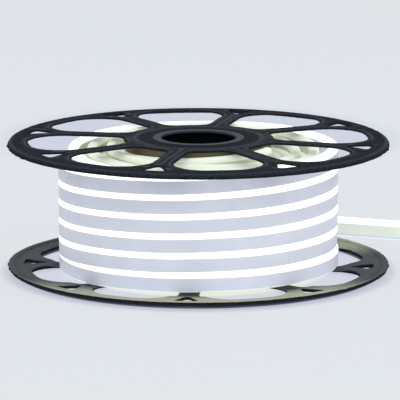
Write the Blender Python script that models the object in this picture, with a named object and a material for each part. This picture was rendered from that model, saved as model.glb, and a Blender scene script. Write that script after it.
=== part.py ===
"""A reel of LED neon flex, lying flat on its lower flange.

A black moulded reel (two dished flanges on a hollow drum) holds the flex, which
stands on edge: its glowing diffuser faces up and its opaque side faces outward.
The free end runs off the bottom turn, over the flange's rim and along the floor.

Metres, +Z up. The origin is on the floor, on the reel's axis. The front of the
reel faces -Y.
"""

import math

import bmesh
import bpy
from mathutils import Euler, Vector

# Neon flex: its section, and how it is wound
FLEX_WIDTH = 0.008
FLEX_HEIGHT = 0.016
DIFFUSER_RADIUS = 0.003
TURNS_HIGH = 6
LAYERS = 7
TURN_SPACING = 0.00035
GROOVE_DEPTH = 0.0008
GROOVE_HALF_WIDTH = 0.0006

# How far each layer stops short of its full turns, from the innermost one outward
TURNS_SHORT = [0.15, 0.26, 0.40, 0.50, 0.40, 0.50, 0.20]
HEAD_ROOM = 0.0005
OUTER_LAYER_ANGLE = math.radians(120)
OUTER_LAYER_LATE_RISE = 0.0074
OUTER_LAYER_SINE_SWAY = (1.06, -0.75)
OUTER_LAYER_COSINE_SWAY = (-0.73, -0.90)

# Drum, and the height in it that the winding does not fill
DRUM_RADIUS = 0.061
DRUM_WALL = 0.003
DRUM_SPARE_HEIGHT = 0.0109

# Flange, turned about the reel's axis
FLANGE_RADIUS = 0.160
BORE_RADIUS = 0.0315
COLLAR_WIDTH = 0.0065
COLLAR_RISE = 0.0006
HUB_RING_RADIUS = 0.053
HUB_RING_WIDTH = 0.0012
HUB_RING_RISE = 0.0003
WEB_THICKNESS = 0.0014
DISH_DEPTH = 0.0014
RIM_HEIGHT = 0.0044
RIM_BEVEL_WIDTH = 0.0045
RIM_BEVEL_HEIGHT = 0.0036
RIM_LIP_WIDTH = 0.0038
RIM_LIP_RISE = 0.0008

# Openings that leave the flange's spokes
SPOKES = 8
SPOKE_WIDTH = 0.017
HUB_EDGE_RADIUS = 0.063
RIM_BAND_WIDTH = 0.017
WINDOW_OUTER_CORNER = 0.027
WINDOW_INNER_CORNER = 0.012
TRIANGLE_APEX_INSET = 0.030
TRIANGLE_BASE_INSET = 0.0145
TRIANGLE_WIDTH = 0.019
TRIANGLE_CORNER = 0.003
BOTTOM_FLANGE_TURN = math.radians(18.5)
TOP_FLANGE_TURN = math.radians(8.0)

# End cap of the free end
CAP_LENGTH = 0.012
CAP_WALL = 0.0008
CAP_CORNER = 0.0015

# Gap between pieces that touch, and how finely round pieces are faceted
CLEARANCE = 0.0003
FLANGE_SEGMENTS = 64
DRUM_SEGMENTS = 48
WINDING_SEGMENTS = 60
CORNER_STEPS = 6
CUT_OVERRUN = 0.010
SHARP_ANGLE = math.radians(35)

# Worked out from the sizes above
COLLAR_RADIUS = BORE_RADIUS + COLLAR_WIDTH
RIM_INNER_RADIUS = FLANGE_RADIUS - RIM_BAND_WIDTH
DRUM_LENGTH = TURNS_HIGH * (FLEX_HEIGHT + TURN_SPACING) + DRUM_SPARE_HEIGHT
HUB_FACE_HEIGHT = COLLAR_RISE + WEB_THICKNESS
REEL_HEIGHT = 2 * (HUB_FACE_HEIGHT + CLEARANCE) + DRUM_LENGTH
WINDING_INNER_RADIUS = DRUM_RADIUS + CLEARANCE
WINDING_OUTER_RADIUS = WINDING_INNER_RADIUS + LAYERS * FLEX_WIDTH

# Route of the free end: the middle of its lower edge, from the winding outward
TAIL_START_ANGLE = OUTER_LAYER_ANGLE
TAIL_START_RADIUS = WINDING_OUTER_RADIUS + CLEARANCE + FLEX_WIDTH / 2
TAIL_ROUTE = [
    (-0.0301, 0.1230, 0.0048),
    (0.0000, 0.1404, 0.0066),
    (0.0300, 0.1572, 0.0072),
    (0.0600, 0.1655, 0.0042),
    (0.0900, 0.1600, 0.0006),
    (0.1200, 0.1490, 0.0000),
    (0.1465, 0.1392, 0.0000),
    (0.1730, 0.1290, 0.0000),
    (0.2000, 0.1182, 0.0000),
]
TAIL_STEPS_PER_LEG = 5


def material(name, colour, roughness, emission=0.0):
    """A plain material for one kind of finish."""
    made = bpy.data.materials.new(name)
    made.use_nodes = True
    shader = made.node_tree.nodes["Principled BSDF"]
    shader.inputs["Base Color"].default_value = (*colour, 1.0)
    shader.inputs["Roughness"].default_value = roughness
    shader.inputs["Metallic"].default_value = 0.0
    shader.inputs["Emission Color"].default_value = (*colour, 1.0)
    shader.inputs["Emission Strength"].default_value = emission
    made.diffuse_color = (*colour, 1.0)
    return made


def finished_object(name, bm, surface):
    """An object made from a bmesh, its faces outward and its round sides smooth."""
    bmesh.ops.recalc_face_normals(bm, faces=bm.faces)
    mesh = bpy.data.meshes.new(name)
    bm.to_mesh(mesh)
    bm.free()
    mesh.shade_smooth()
    mesh.set_sharp_from_angle(angle=SHARP_ANGLE)
    mesh.materials.append(surface)
    made = bpy.data.objects.new(name, mesh)
    bpy.context.scene.collection.objects.link(made)
    return made


def turned_mesh(profile, segments):
    """A closed profile of (radius, height) points, turned about the Z axis."""
    return swung_mesh([profile] * segments)


def swung_mesh(profiles):
    """A closed body from as many profiles as it has steps round the Z axis."""
    bm = bmesh.new()
    rings = []
    for step, profile in enumerate(profiles):
        angle = math.tau * step / len(profiles)
        across, along = math.cos(angle), math.sin(angle)
        rings.append([bm.verts.new((r * across, r * along, z)) for r, z in profile])
    for ring, following in zip(rings, rings[1:] + rings[:1]):
        for place in range(len(profile)):
            after = (place + 1) % len(profile)
            bm.faces.new((ring[place], following[place], following[after], ring[after]))
    return bm


def arc(centre, radius, start, end, steps):
    """Points of an arc in the plane, from one angle to another."""
    angles = [start + (end - start) * step / steps for step in range(steps + 1)]
    return [
        (centre[0] + radius * math.cos(angle), centre[1] + radius * math.sin(angle))
        for angle in angles
    ]


def web_outer_face(radius):
    """Height of a flange's outer face over the plane it stands on: flat hub, then a cone."""
    cone_end = FLANGE_RADIUS - RIM_BEVEL_WIDTH
    share = (radius - HUB_EDGE_RADIUS) / (cone_end - HUB_EDGE_RADIUS)
    return COLLAR_RISE + DISH_DEPTH * min(max(share, 0.0), 1.0)


def web_inner_face(radius):
    """Height of a flange's inner face, which the winding and the drum meet."""
    return web_outer_face(radius) + WEB_THICKNESS


def flange_profile():
    """Half section of a flange, from the bore outward and back along the inner face."""
    rim_face = COLLAR_RISE + DISH_DEPTH
    rim_top = rim_face + RIM_HEIGHT
    lip_foot = rim_top - RIM_LIP_RISE
    ring_inner = HUB_RING_RADIUS - HUB_RING_WIDTH / 2
    ring_outer = HUB_RING_RADIUS + HUB_RING_WIDTH / 2
    outer_face = [
        (BORE_RADIUS, 0.0),
        (COLLAR_RADIUS, 0.0),
        (COLLAR_RADIUS + COLLAR_RISE, COLLAR_RISE),
        (ring_inner, COLLAR_RISE),
        (HUB_RING_RADIUS, COLLAR_RISE - HUB_RING_RISE),
        (ring_outer, COLLAR_RISE),
        (HUB_EDGE_RADIUS, COLLAR_RISE),
        (FLANGE_RADIUS - RIM_BEVEL_WIDTH, rim_face),
        (FLANGE_RADIUS - RIM_BEVEL_WIDTH / 3, rim_face + RIM_BEVEL_HEIGHT / 3),
        (FLANGE_RADIUS, rim_face + RIM_BEVEL_HEIGHT),
    ]
    inner_face = [
        (FLANGE_RADIUS, rim_top),
        (FLANGE_RADIUS - RIM_LIP_WIDTH, rim_top),
        (FLANGE_RADIUS - RIM_LIP_WIDTH - RIM_LIP_RISE, lip_foot),
        (RIM_INNER_RADIUS, web_inner_face(RIM_INNER_RADIUS)),
        (HUB_EDGE_RADIUS, web_inner_face(HUB_EDGE_RADIUS)),
        (BORE_RADIUS, web_inner_face(BORE_RADIUS)),
    ]
    return outer_face + inner_face


def corner_centre(distance, radius):
    """Centre of a window's corner: so far from the axis, and so far inside the spoke's edge."""
    half_sector = math.pi / SPOKES
    from_spoke_middle = math.asin((SPOKE_WIDTH / 2 + radius) / distance)
    angle = half_sector - from_spoke_middle
    return distance * math.cos(angle), distance * math.sin(angle), angle


def window_outline():
    """One window, centred on +X: rim arc, big outer corners, straight sides, narrow inner end."""
    side_normal = math.pi / SPOKES + math.pi / 2
    outer_x, outer_y, outer_angle = corner_centre(
        RIM_INNER_RADIUS - WINDOW_OUTER_CORNER, WINDOW_OUTER_CORNER
    )
    inner_x, inner_y, inner_angle = corner_centre(
        HUB_EDGE_RADIUS + WINDOW_INNER_CORNER, WINDOW_INNER_CORNER
    )
    outer_corner = arc(
        (outer_x, outer_y), WINDOW_OUTER_CORNER, outer_angle, side_normal, CORNER_STEPS
    )
    inner_corner = arc(
        (inner_x, inner_y),
        WINDOW_INNER_CORNER,
        side_normal,
        math.pi + inner_angle,
        CORNER_STEPS,
    )
    half = outer_corner + inner_corner
    return [(x, -y) for x, y in reversed(half)] + half


def triangle_outline():
    """One rounded triangle on the spoke at half a sector, its point toward the hub."""
    apex = FLANGE_RADIUS - TRIANGLE_APEX_INSET
    base = FLANGE_RADIUS - TRIANGLE_BASE_INSET
    half_width = TRIANGLE_WIDTH / 2
    half_apex = math.atan2(half_width, base - apex)
    apex_centre = (apex + TRIANGLE_CORNER / math.sin(half_apex), 0.0)
    base_centre_y = (
        half_width - TRIANGLE_CORNER / math.tan((math.pi / 2 - half_apex) / 2)
    )
    base_centre = (base - TRIANGLE_CORNER, base_centre_y)
    side_normal = half_apex + math.pi / 2
    steps = CORNER_STEPS // 2
    half = arc(base_centre, TRIANGLE_CORNER, 0.0, side_normal, steps)
    half += arc(apex_centre, TRIANGLE_CORNER, side_normal, math.pi, steps)[:-1]
    whole = half + [(apex_centre[0] - TRIANGLE_CORNER, 0.0)]
    whole += [(x, -y) for x, y in reversed(half)]
    turn = math.pi / SPOKES
    cosine, sine = math.cos(turn), math.sin(turn)
    return [(x * cosine - y * sine, x * sine + y * cosine) for x, y in whole]


def add_prism(bm, outline, bottom, top, turn):
    """A closed prism on an outline, turned about the Z axis, added to a bmesh."""
    cosine, sine = math.cos(turn), math.sin(turn)
    rings = [
        [
            bm.verts.new((x * cosine - y * sine, x * sine + y * cosine, height))
            for x, y in outline
        ]
        for height in (bottom, top)
    ]
    bm.faces.new(reversed(rings[0]))
    bm.faces.new(rings[1])
    for place in range(len(outline)):
        after = (place + 1) % len(outline)
        bm.faces.new((rings[0][place], rings[0][after], rings[1][after], rings[1][place]))


def flange(name, surface, location, rotation):
    """A dished flange with its windows and triangles cut through."""
    made = finished_object(name, turned_mesh(flange_profile(), FLANGE_SEGMENTS), surface)
    made.location = location
    made.rotation_euler = rotation
    thickness = COLLAR_RISE + DISH_DEPTH + RIM_HEIGHT
    bm = bmesh.new()
    for spoke in range(SPOKES):
        turn = math.tau * spoke / SPOKES
        for outline in (window_outline(), triangle_outline()):
            add_prism(bm, outline, -CUT_OVERRUN, thickness + CUT_OVERRUN, turn)
    cutter = finished_object(name + "_cutter", bm, surface)
    cutter.parent = made
    cutter.hide_render = True
    cutter.display_type = "WIRE"
    cut = made.modifiers.new("windows", "BOOLEAN")
    cut.operation = "DIFFERENCE"
    cut.solver = "EXACT"
    cut.object = cutter
    return made


def drum(surface):
    """The hollow core that the flex is wound on, from flange to flange."""
    bottom = HUB_FACE_HEIGHT + CLEARANCE
    top = bottom + DRUM_LENGTH
    inner = DRUM_RADIUS - DRUM_WALL
    profile = [(inner, bottom), (DRUM_RADIUS, bottom), (DRUM_RADIUS, top), (inner, top)]
    return finished_object("drum", turned_mesh(profile, DRUM_SEGMENTS), surface)


def layer_outer_radius(layer):
    """Outer radius of a layer; the innermost one keeps clear of the solid around it."""
    seat = WINDING_INNER_RADIUS + (layer + 1) * FLEX_WIDTH
    return seat - CLEARANCE if layer == 0 else seat


def lowest_edge(layer):
    """Height of the flex's lower edge where a layer lies on the lower flange."""
    outer = WINDING_INNER_RADIUS + (layer + 1) * FLEX_WIDTH
    return web_inner_face(outer) + CLEARANCE


def highest_edge(layer):
    """Height of the flex's lower edge where a layer comes nearest to the upper flange."""
    outer = WINDING_INNER_RADIUS + (layer + 1) * FLEX_WIDTH
    return REEL_HEIGHT - web_inner_face(outer) - HEAD_ROOM - FLEX_HEIGHT


def sway(turns, share):
    """How far the outer layer runs ahead of an even climb, in turns."""
    sines = OUTER_LAYER_SINE_SWAY[0] * (1 - share) + OUTER_LAYER_SINE_SWAY[1] * share
    cosines = OUTER_LAYER_COSINE_SWAY[0] * (1 - share) + OUTER_LAYER_COSINE_SWAY[1] * share
    phase = math.tau * turns
    return (sines * math.sin(phase) + cosines * math.cos(phase)) / math.tau


def climb(layer, turns):
    """Height of a layer's lower edge, so many turns from the end nearer the free end."""
    total = TURNS_HIGH - TURNS_SHORT[layer]
    low, high = lowest_edge(layer), highest_edge(layer)
    share = turns / total
    if layer == LAYERS - 1:
        start = low - OUTER_LAYER_LATE_RISE
        even = (turns + sway(turns, share)) / total
        return min(max(start + (high - start) * even, low), high)
    rises = (LAYERS - 1 - layer) % 2 == 0
    return low + (high - low) * (share if rises else 1 - share)


def pass_heights(layer, angle):
    """Heights of a layer's lower edge each time it passes an angle, from low to high."""
    start = OUTER_LAYER_ANGLE
    for outer in range(layer + 1, LAYERS):
        start += math.tau * (TURNS_HIGH - TURNS_SHORT[outer])
    total = TURNS_HIGH - TURNS_SHORT[layer]
    first = (angle - start) / math.tau % 1.0
    turns = [first + passed for passed in range(TURNS_HIGH) if first + passed <= total]
    return sorted(climb(layer, turn) for turn in turns)


def outer_side(radius, heights, bottom, top):
    """Profile up a layer's outer side, a groove where one turn lies on another."""
    points = [(radius, bottom + GROOVE_HALF_WIDTH)]
    heights = heights + [top] * (TURNS_HIGH - len(heights))
    for turn, height in enumerate(heights[1:], 1):
        most = top - (TURNS_HIGH - turn) * 3 * GROOVE_HALF_WIDTH
        height = min(height, most)
        points += [
            (radius, height - GROOVE_HALF_WIDTH),
            (radius - GROOVE_DEPTH, height),
            (radius, height + GROOVE_HALF_WIDTH),
        ]
    return points + [(radius, top - GROOVE_HALF_WIDTH)]


def winding_profile(first, last, angle):
    """Section through neighbouring layers at an angle, a groove between layers."""
    passes = [pass_heights(layer, angle) for layer in range(first, last + 1)]
    bottoms = [heights[0] for heights in passes]
    tops = [heights[-1] + FLEX_HEIGHT for heights in passes]
    bottom_end, top_end = [], []
    for place, layer in enumerate(range(first, last + 1)):
        inner = WINDING_INNER_RADIUS + layer * FLEX_WIDTH
        outer = layer_outer_radius(layer)
        for end, heights in ((bottom_end, bottoms), (top_end, tops)):
            end += [
                (inner + GROOVE_HALF_WIDTH, heights[place]),
                (outer - GROOVE_HALF_WIDTH, heights[place]),
            ]
        if layer < last:
            bottom_end.append((outer, max(bottoms[place : place + 2]) + GROOVE_DEPTH))
            top_end.append((outer, min(tops[place : place + 2]) - GROOVE_DEPTH))
    inner_radius = WINDING_INNER_RADIUS + first * FLEX_WIDTH
    inner_side = [
        (inner_radius, tops[0] - GROOVE_HALF_WIDTH),
        (inner_radius, bottoms[0] + GROOVE_HALF_WIDTH),
    ]
    outside = outer_side(layer_outer_radius(last), passes[-1], bottoms[-1], tops[-1])
    return bottom_end + outside + top_end[::-1] + inner_side


def wound_layers(name, first, last, surface):
    """Layers of turns as one solid, whose ends step up and down as the flex climbs."""
    angles = [math.tau * step / WINDING_SEGMENTS for step in range(WINDING_SEGMENTS)]
    profiles = [winding_profile(first, last, angle) for angle in angles]
    return finished_object(name, swung_mesh(profiles), surface)


def flex_section():
    """Section of the flex, (across, up) from the middle of its lower edge, with a round top."""
    half = FLEX_WIDTH / 2
    shoulder = FLEX_HEIGHT - DIFFUSER_RADIUS
    centre = half - DIFFUSER_RADIUS
    right = arc((centre, shoulder), DIFFUSER_RADIUS, 0.0, math.pi / 2, CORNER_STEPS // 2)
    left = arc((-centre, shoulder), DIFFUSER_RADIUS, math.pi / 2, math.pi, CORNER_STEPS // 2)
    return [(-half, 0.0), (half, 0.0)] + right + left


def tail_line():
    """The free end's route as a smooth curve through its own points, never below the floor."""
    start = Vector((
        TAIL_START_RADIUS * math.cos(TAIL_START_ANGLE),
        TAIL_START_RADIUS * math.sin(TAIL_START_ANGLE),
        lowest_edge(LAYERS - 1) + CLEARANCE,
    ))
    points = [start] + [Vector(point) for point in TAIL_ROUTE]
    before = points[0] * 2 - points[1]
    beyond = points[-1] * 2 - points[-2]
    knots = [before] + points + [beyond]
    line = []
    for a, b, c, d in zip(knots, knots[1:], knots[2:], knots[3:]):
        for step in range(TAIL_STEPS_PER_LEG):
            t = step / TAIL_STEPS_PER_LEG
            line.append(
                (
                    b * 2
                    + (c - a) * t
                    + (a * 2 - b * 5 + c * 4 - d) * t * t
                    + (b * 3 - a - c * 3 + d) * t * t * t
                )
                / 2
            )
    line.append(points[-1])
    for point in line:
        point.z = max(point.z, 0.0)
    return line


def direction_in_plan(line, place):
    """The line's level direction at one of its points."""
    ahead = line[min(place + 1, len(line) - 1)]
    behind = line[max(place - 1, 0)]
    along = ahead - behind
    along.z = 0.0
    return along.normalized()


def tail(surface):
    """The free end: the flex's section, kept upright along its route."""
    line = tail_line()
    section = flex_section()
    bm = bmesh.new()
    rings = []
    for place, point in enumerate(line):
        along = direction_in_plan(line, place)
        across = Vector((along.y, -along.x, 0.0))
        rings.append(
            [bm.verts.new(point + across * x + Vector((0.0, 0.0, z))) for x, z in section]
        )
    for ring, following in zip(rings, rings[1:]):
        for place in range(len(section)):
            after = (place + 1) % len(section)
            bm.faces.new((ring[place], following[place], following[after], ring[after]))
    bm.faces.new(rings[0])
    bm.faces.new(reversed(rings[-1]))
    return finished_object("neon_flex_tail", bm, surface)


def end_cap(surface):
    """The moulded cap that closes the free end, standing on the floor beyond it."""
    line = tail_line()
    along = direction_in_plan(line, len(line) - 1)
    half = FLEX_WIDTH / 2 + CAP_WALL
    height = FLEX_HEIGHT + CAP_WALL
    corners = [(0.0, -half), (CAP_LENGTH - CAP_CORNER, -half), (CAP_LENGTH, -half + CAP_CORNER)]
    outline = corners + [(x, -y) for x, y in reversed(corners)]
    bm = bmesh.new()
    add_prism(bm, outline, 0.0, height - CAP_CORNER, 0.0)
    top = max(bm.faces, key=lambda face: face.calc_center_median().z)
    bmesh.ops.inset_region(bm, faces=[top], thickness=CAP_CORNER, depth=0.0)
    for vert in top.verts:
        vert.co.z = height
    made = finished_object("tail_end_cap", bm, surface)
    made.location = line[-1] + along * CLEARANCE
    made.rotation_euler = Euler((0.0, 0.0, math.atan2(along.y, along.x)))
    return made


for old in list(bpy.data.objects):
    bpy.data.objects.remove(old)

black_plastic = material("black_moulded_plastic", (0.035, 0.033, 0.032), 0.5)
drum_plastic = material("black_drum_plastic", (0.045, 0.043, 0.038), 0.55)
lit_flex = material("lit_neon_flex", (0.80, 0.83, 0.86), 0.45, 0.5)
cap_silicone = material("end_cap_silicone", (0.78, 0.79, 0.80), 0.5)

flange("bottom_flange", black_plastic, (0, 0, 0), (0, 0, BOTTOM_FLANGE_TURN))
flange("top_flange", black_plastic, (0, 0, REEL_HEIGHT), (math.pi, 0, TOP_FLANGE_TURN))
drum(drum_plastic)
wound_layers("neon_flex_inner_layer", 0, 0, lit_flex)
wound_layers("neon_flex_winding", 1, LAYERS - 1, lit_flex)
tail(lit_flex)
end_cap(cap_silicone)
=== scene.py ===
import math

import bmesh
import bpy
import numpy as np
from mathutils import Matrix, Vector, geometry


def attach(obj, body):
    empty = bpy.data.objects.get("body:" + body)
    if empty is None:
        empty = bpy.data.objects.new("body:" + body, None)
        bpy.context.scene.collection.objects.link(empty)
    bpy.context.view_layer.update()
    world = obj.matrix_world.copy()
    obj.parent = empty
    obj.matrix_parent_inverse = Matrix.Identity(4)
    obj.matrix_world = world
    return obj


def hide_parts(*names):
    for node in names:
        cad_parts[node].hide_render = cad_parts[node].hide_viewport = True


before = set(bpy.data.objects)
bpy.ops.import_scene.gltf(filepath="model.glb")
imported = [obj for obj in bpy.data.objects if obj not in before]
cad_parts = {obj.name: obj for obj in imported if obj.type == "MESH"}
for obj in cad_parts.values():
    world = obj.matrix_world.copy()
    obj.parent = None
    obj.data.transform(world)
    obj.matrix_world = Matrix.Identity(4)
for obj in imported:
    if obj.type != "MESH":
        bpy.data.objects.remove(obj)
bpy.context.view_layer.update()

# The view: a long lens a little above the reel, as in a studio shot of a product.
# It looks along +Y and a little down, at about the middle of the reel's height.
scene = bpy.context.scene
scene.view_settings.view_transform = "Standard"
CAMERA_PLACE = Vector((0.0013, -3.5315, 0.7431))
AIM = Vector((0.0013, 0.0, 0.0598))
LENS = 385.0
SENSOR_WIDTH = 36.0
VIEW_END = 50.0
camera = bpy.data.objects.new("camera", bpy.data.cameras.new("camera"))
camera.data.lens = LENS
camera.data.sensor_width = SENSOR_WIDTH
camera.data.clip_end = VIEW_END
camera.location = CAMERA_PLACE
camera.rotation_euler = (AIM - CAMERA_PLACE).to_track_quat("-Z", "Y").to_euler()
scene.collection.objects.link(camera)
scene.camera = camera

# The flex's jacket, extruded in one pass: a milky opaque channel below, and a lit
# diffuser with a rounded top above it. The strip stands on its narrow edge.
FLEX_WIDTH = 0.008
FLEX_HEIGHT = 0.016
CHANNEL_HEIGHT = 0.0119
CHANNEL_CORNER = 0.0009
DIFFUSER_CORNER = 0.0028
CORNER_STEPS = 5
# How far and how strongly the light leaks into the channel at its upper edge, how far up
# and how strongly a painted glow lies along its lower edge, and the heights over the floor
# between which its sides are painted darker, a painted shade
UPPER_LEAK = 0.0009
UPPER_LEAK_LEVELS = (0.03, 0.30)
PAINTED_LOWER_GLOW = (0.0012, 0.0002)
PAINTED_LOWER_GLOW_LEVELS = (0.0, 0.50)
SHADED_HEIGHTS = (0.0, 0.1)
SHADED_LEVELS = (1.07, 0.93)
# Where the free end's channel turns to a paler, greener colour, a painted light, along X and up the
# section
TURNS_ALONG = (-0.03, 0.08)
TURNS_ABOVE = (0.0018, 0.0030)
SHARP_ANGLE = math.radians(38)


def linear(red, green, blue):
    """A colour given as it looks on a screen, 0 to 255, as Blender's linear values."""
    shares = [value / 255 for value in (red, green, blue)]
    return [s / 12.92 if s <= 0.04045 else ((s + 0.055) / 1.055) ** 2.4 for s in shares]


class Finish:
    """A material in the making: its nodes, its links and its Principled shader."""

    def __init__(self, name, colour, roughness, specular=0.5):
        self.made = bpy.data.materials.new(name)
        self.made.use_nodes = True
        self.nodes, self.links = self.made.node_tree.nodes, self.made.node_tree.links
        self.shader = self.nodes["Principled BSDF"]
        self.set("Base Color", colour)
        self.set("Roughness", roughness)
        self.set("Specular IOR Level", specular)
        self.place = self.nodes.new("ShaderNodeTexCoord").outputs["Object"]

    def feed(self, socket, value):
        """Give a socket a number or a colour, or link another node's output to it."""
        if isinstance(value, bpy.types.NodeSocket):
            self.links.new(value, socket)
        elif isinstance(value, (int, float)):
            socket.default_value = value
        else:
            socket.default_value = (*value, 1.0)

    def set(self, name, value):
        """Set one of the shader's own sockets."""
        self.feed(self.shader.inputs[name], value)

    def axis(self, name):
        """One coordinate of the place on the piece: X, Y or Z."""
        split = self.nodes.new("ShaderNodeSeparateXYZ")
        self.links.new(self.place, split.inputs["Vector"])
        return split.outputs[name]

    def distance(self, middle):
        """How far the place on the piece is from a point."""
        node = self.nodes.new("ShaderNodeVectorMath")
        node.operation = "DISTANCE"
        node.inputs[1].default_value = middle
        self.links.new(self.place, node.inputs[0])
        return node.outputs["Value"]

    def attribute(self, name):
        """A value that the mesh carries at its points."""
        node = self.nodes.new("ShaderNodeAttribute")
        node.attribute_name = name
        return node.outputs["Fac"]

    def noise(self, scale, detail=2.0, roughness=0.5):
        """Soft random clouds, from 0 to 1."""
        node = self.nodes.new("ShaderNodeTexNoise")
        self.links.new(self.place, node.inputs["Vector"])
        for name, value in (("Scale", scale), ("Detail", detail), ("Roughness", roughness)):
            node.inputs[name].default_value = value
        return node.outputs["Fac"]

    def ramp(self, value, span, to=(0.0, 1.0), kind="SMOOTHSTEP"):
        """A value carried from one span to another, eased or straight, and held past its ends."""
        node = self.nodes.new("ShaderNodeMapRange")
        node.interpolation_type = kind
        self.links.new(value, node.inputs["Value"])
        ends = ("From Min", span[0]), ("From Max", span[1]), ("To Min", to[0]), ("To Max", to[1])
        for name, end in ends:
            node.inputs[name].default_value = end
        return node.outputs["Result"]

    def blend(self, share, first, second):
        """A colour between two, by a share from 0 to 1."""
        node = self.nodes.new("ShaderNodeMix")
        node.data_type = "RGBA"
        for name, value in (("Factor", share), ("A", first), ("B", second)):
            self.feed(node.inputs[name], value)
        return node.outputs["Result"]

    def calc(self, operation, first, second):
        """Two values joined by an operation."""
        node = self.nodes.new("ShaderNodeMath")
        node.operation = operation
        self.feed(node.inputs[0], first)
        self.feed(node.inputs[1], second)
        return node.outputs["Value"]


def arc(centre, radius, start, end, steps):
    """Points of an arc in the plane, from one angle to another."""
    angles = [start + (end - start) * step / steps for step in range(steps + 1)]
    return [
        (centre[0] + radius * math.cos(angle), centre[1] + radius * math.sin(angle))
        for angle in angles
    ]


def channel_section():
    """The opaque part's outline, open at the top: (across, up) from the lower edge's middle."""
    half = FLEX_WIDTH / 2
    low = CHANNEL_CORNER
    right = arc((half - low, low), low, 0.0, -math.pi / 2, CORNER_STEPS)
    left = [(-x, z) for x, z in reversed(right)]
    return [(half, CHANNEL_HEIGHT)] + right + left + [(-half, CHANNEL_HEIGHT)]


def diffuser_section():
    """The lit part's outline, open at the bottom, from the left side over the top."""
    half = FLEX_WIDTH / 2
    round_off = DIFFUSER_CORNER
    right = arc(
        (half - round_off, FLEX_HEIGHT - round_off),
        round_off,
        math.pi / 2,
        0.0,
        CORNER_STEPS,
    )
    left = [(-x, z) for x, z in reversed(right)]
    return [(-half, CHANNEL_HEIGHT)] + left + right + [(half, CHANNEL_HEIGHT)]


def jacket_channel(name, dark, pale, edge_light, painted_light_colour=None):
    """Milky silicone that lets light through at its upper edge, with a painted glow at its lower
    edge and painted shade: paler near the floor, darker higher up.

    Where a further colour is given, all but the lowest edge turns to it along +X: painted light on
    the free end's side.
    """
    finish = Finish(name, pale, 0.42, 0.35)
    section_height = finish.attribute("section_height")
    # Painted shade: the silicone's colour is made darker going up from the floor
    shaded = finish.nodes.new("ShaderNodeHueSaturation")
    finish.feed(
        shaded.inputs["Value"],
        finish.ramp(finish.axis("Z"), SHADED_HEIGHTS, to=SHADED_LEVELS, kind="LINEAR"),
    )
    clouds = finish.noise(scale=45.0, detail=3.0)
    finish.feed(shaded.inputs["Color"], finish.blend(clouds, dark, pale))
    colour = shaded.outputs["Color"]
    if painted_light_colour:
        along = finish.ramp(finish.axis("X"), TURNS_ALONG)
        above_floor = finish.ramp(section_height, TURNS_ABOVE)
        colour = finish.blend(finish.calc("MULTIPLY", along, above_floor), colour, painted_light_colour)
    finish.set("Base Color", colour)
    finish.set("Subsurface Weight", 0.15)
    finish.shader.inputs["Subsurface Radius"].default_value = (0.002, 0.002, 0.0025)
    upper_edge = (CHANNEL_HEIGHT - UPPER_LEAK, CHANNEL_HEIGHT)
    upper = finish.ramp(section_height, upper_edge, to=UPPER_LEAK_LEVELS)
    # Painted glow along the lower edge, standing in for the flex's light thrown back off the floor
    lower = finish.ramp(section_height, PAINTED_LOWER_GLOW, to=PAINTED_LOWER_GLOW_LEVELS)
    finish.set("Emission Color", edge_light)
    finish.set("Emission Strength", finish.calc("ADD", upper, lower))
    return finish.made


def jacket_diffuser(name, base, colour, strength):
    """The lit diffuser: cool white, a little uneven along the strip."""
    finish = Finish(name, base, 0.38, 0.3)
    finish.set("Emission Color", colour)
    level = finish.ramp(
        finish.noise(scale=28.0), (0.0, 1.0), to=(strength * 0.93, strength * 1.07), kind="LINEAR"
    )
    finish.set("Emission Strength", level)
    return finish.made


channel_material = jacket_channel(
    "flex_channel", linear(205, 210, 224), linear(222, 226, 237), linear(236, 242, 240)
)
# Painted light: the inner layers' channel is tinted yellow-green for the neighbouring layers' glow
# between them
glow_tinted_inner_channel = jacket_channel(
    "flex_channel_between_layers",
    linear(196, 204, 172),
    linear(212, 218, 196),
    linear(232, 240, 205),
)
tail_channel = jacket_channel(
    "flex_channel_of_free_end",
    linear(209, 213, 226),
    linear(225, 228, 238),
    linear(236, 242, 236),
    # Painted light: the free end's side turns paler and greener toward +X, as where it looks lit
    painted_light_colour=linear(238, 246, 230),
)
outer_diffuser = jacket_diffuser(
    "flex_diffuser", linear(236, 240, 240), linear(252, 253, 255), 1.15
)
# Painted shade: the second and inner layers' diffusers glow less and greener than the outer one,
# though the flex glows alike all along
shaded_inner_diffuser = jacket_diffuser(
    "flex_diffuser_between_layers", linear(200, 207, 196), linear(238, 247, 228), 0.30
)
shaded_second_diffuser = jacket_diffuser(
    "flex_diffuser_second_layer", linear(226, 230, 228), linear(248, 251, 248), 0.75
)

# The flex's free end: it leaves the bottom turn behind the reel, passes over the
# lower rim and comes down to the floor, where it runs on to the right on its edge.
TAIL_ROUTE = [
    (-0.0608, 0.1053, 0.0034),
    (-0.0301, 0.1230, 0.0048),
    (0.0000, 0.1404, 0.0066),
    (0.0300, 0.1572, 0.0072),
    (0.0600, 0.1655, 0.0042),
    (0.0900, 0.1600, 0.0006),
    (0.1200, 0.1490, 0.0000),
    (0.1465, 0.1392, 0.0000),
    (0.1730, 0.1290, 0.0000),
    (0.2000, 0.1182, 0.0000),
]
TAIL_STEPS_PER_LEG = 10


def smooth_line(points, steps):
    """A smooth curve through points, each leg in so many steps, never under the floor."""
    points = [Vector(point) for point in points]
    knots = [points[0] * 2 - points[1]] + points + [points[-1] * 2 - points[-2]]
    line = []
    for a, b, c, d in zip(knots, knots[1:], knots[2:], knots[3:]):
        for step in range(steps):
            t = step / steps
            cubic = (b * 3 - a - c * 3 + d) * t**3
            square = (a * 2 - b * 5 + c * 4 - d) * t**2
            line.append((b * 2 + (c - a) * t + square + cubic) / 2)
    line.append(points[-1])
    for point in line:
        point.z = max(point.z, 0.0)
    return line


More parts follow.
